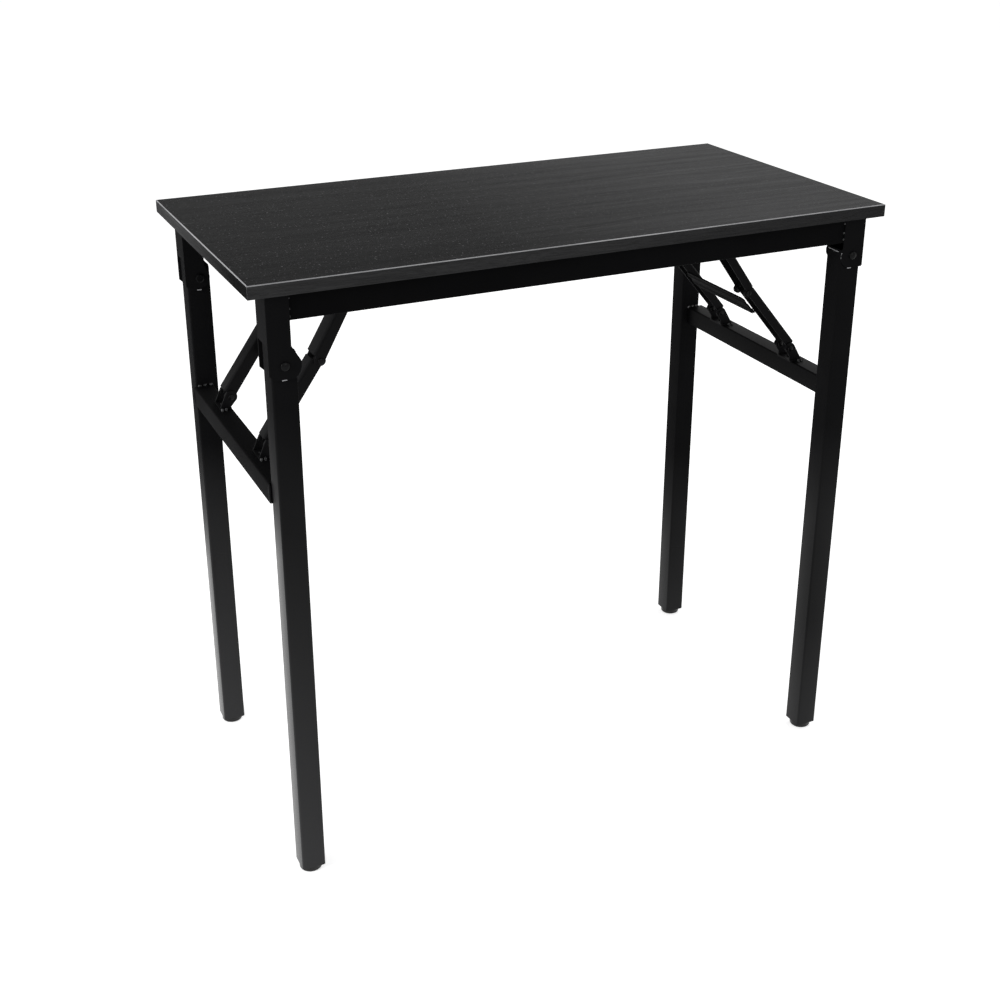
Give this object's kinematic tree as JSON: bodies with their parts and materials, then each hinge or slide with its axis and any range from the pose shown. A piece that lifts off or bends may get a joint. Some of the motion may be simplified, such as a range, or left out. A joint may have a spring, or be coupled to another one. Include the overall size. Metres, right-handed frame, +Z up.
{
  "type": "folding desk",
  "caption": "Narrow black desk with a wood-grain top on square steel legs that fold flat beneath it on locking channel braces.",
  "frame": {"origin": "on the floor, under the centre of the top", "axes": "+X along the top's length towards the end whose legs pivot higher, +Y from the front edge to the rear edge, +Z up"},
  "size_m": [0.8, 0.4, 0.75],
  "materials": {
    "top_laminate": "black wood-grain laminate, satin",
    "edge_band": "black embossed edge band, satin",
    "powder_coated_tube": "black powder coat, satin",
    "coated_sheet_steel": "black coated sheet steel, semi-gloss",
    "fastener_steel": "dark plated steel",
    "foot_plastic": "black moulded plastic, matt"
  },
  "bodies": {
    "top_frame": {"brace_bracket_upper_front_left": "coated_sheet_steel", "brace_bracket_upper_front_right": "coated_sheet_steel", "brace_bracket_upper_rear_left": "coated_sheet_steel", "brace_bracket_upper_rear_right": "coated_sheet_steel", "brace_pin_upper_front_left": "fastener_steel", "brace_pin_upper_front_right": "fastener_steel", "brace_pin_upper_rear_left": "fastener_steel", "brace_pin_upper_rear_right": "fastener_steel", "cross_rail_left": "powder_coated_tube", "cross_rail_right": "powder_coated_tube", "edge_band_front": "edge_band", "edge_band_left": "edge_band", "edge_band_rear": "edge_band", "edge_band_right": "edge_band", "leg_bracket_front_left": "coated_sheet_steel", "leg_bracket_front_right": "coated_sheet_steel", "leg_bracket_rear_left": "coated_sheet_steel", "leg_bracket_rear_right": "coated_sheet_steel", "pivot_bolt_front_left": "fastener_steel", "pivot_bolt_front_right": "fastener_steel", "pivot_bolt_rear_left": "fastener_steel", "pivot_bolt_rear_right": "fastener_steel", "rail_front": "powder_coated_tube", "rail_rear": "powder_coated_tube", "top_board": "top_laminate"},
    "left_leg_frame": {"brace_bracket_lower_front_left": "coated_sheet_steel", "brace_bracket_lower_rear_left": "coated_sheet_steel", "brace_pin_lower_front_left": "fastener_steel", "brace_pin_lower_rear_left": "fastener_steel", "foot_plug_front_left": "foot_plastic", "foot_plug_rear_left": "foot_plastic", "leg_crossbar_left": "powder_coated_tube", "leg_front_left": "powder_coated_tube", "leg_rear_left": "powder_coated_tube"},
    "left_upper_links": {"brace_upper_front_left": "coated_sheet_steel", "brace_upper_rear_left": "coated_sheet_steel", "knee_rivet_front_left": "fastener_steel", "knee_rivet_rear_left": "fastener_steel"},
    "left_lower_links": {"brace_lower_front_left": "coated_sheet_steel", "brace_lower_rear_left": "coated_sheet_steel", "connecting_bar_left": "coated_sheet_steel"},
    "right_leg_frame": {"brace_bracket_lower_front_right": "coated_sheet_steel", "brace_bracket_lower_rear_right": "coated_sheet_steel", "brace_pin_lower_front_right": "fastener_steel", "brace_pin_lower_rear_right": "fastener_steel", "foot_plug_front_right": "foot_plastic", "foot_plug_rear_right": "foot_plastic", "leg_crossbar_right": "powder_coated_tube", "leg_front_right": "powder_coated_tube", "leg_rear_right": "powder_coated_tube"},
    "right_upper_links": {"brace_upper_front_right": "coated_sheet_steel", "brace_upper_rear_right": "coated_sheet_steel", "knee_rivet_front_right": "fastener_steel", "knee_rivet_rear_right": "fastener_steel"},
    "right_lower_links": {"brace_lower_front_right": "coated_sheet_steel", "brace_lower_rear_right": "coated_sheet_steel", "connecting_bar_right": "coated_sheet_steel"}
  },
  "joints": [
    {"name": "right_leg_fold", "type": "hinge", "parent": "top_frame", "child": "right_leg_frame", "pos_m": [0.3614, 0, 0.689], "axis": [0, 1, 0], "range_deg": [0, 90]},
    {"name": "right_upper_link", "type": "hinge", "parent": "top_frame", "child": "right_upper_links", "pos_m": [0.21597, 0, 0.7145], "axis": [0, -1, 0], "range_deg": [0, 30.5]},
    {"name": "right_lower_link", "type": "hinge", "parent": "right_leg_frame", "child": "right_lower_links", "pos_m": [0.353, 0, 0.53752], "axis": [0, 1, 0], "range_deg": [0, 55.5]},
    {"name": "left_leg_fold", "type": "hinge", "parent": "top_frame", "child": "left_leg_frame", "pos_m": [-0.3636, 0, 0.657], "axis": [0, -1, 0], "range_deg": [0, 90]},
    {"name": "left_upper_link", "type": "hinge", "parent": "top_frame", "child": "left_upper_links", "pos_m": [-0.23592, 0, 0.716], "axis": [0, 1, 0], "range_deg": [0, 44.8]},
    {"name": "left_lower_link", "type": "hinge", "parent": "left_leg_frame", "child": "left_lower_links", "pos_m": [-0.357, 0, 0.52775], "axis": [0, -1, 0], "range_deg": [0, 23.4]}
  ],
  "couplings": [
    {"joint": "right_upper_link", "follows": "right_leg_fold", "ratio": 0.33756},
    {"joint": "right_lower_link", "follows": "right_leg_fold", "ratio": 0.60923},
    {"joint": "left_upper_link", "follows": "left_leg_fold", "ratio": 0.49175},
    {"joint": "left_lower_link", "follows": "left_leg_fold", "ratio": 0.25748}
  ]
}
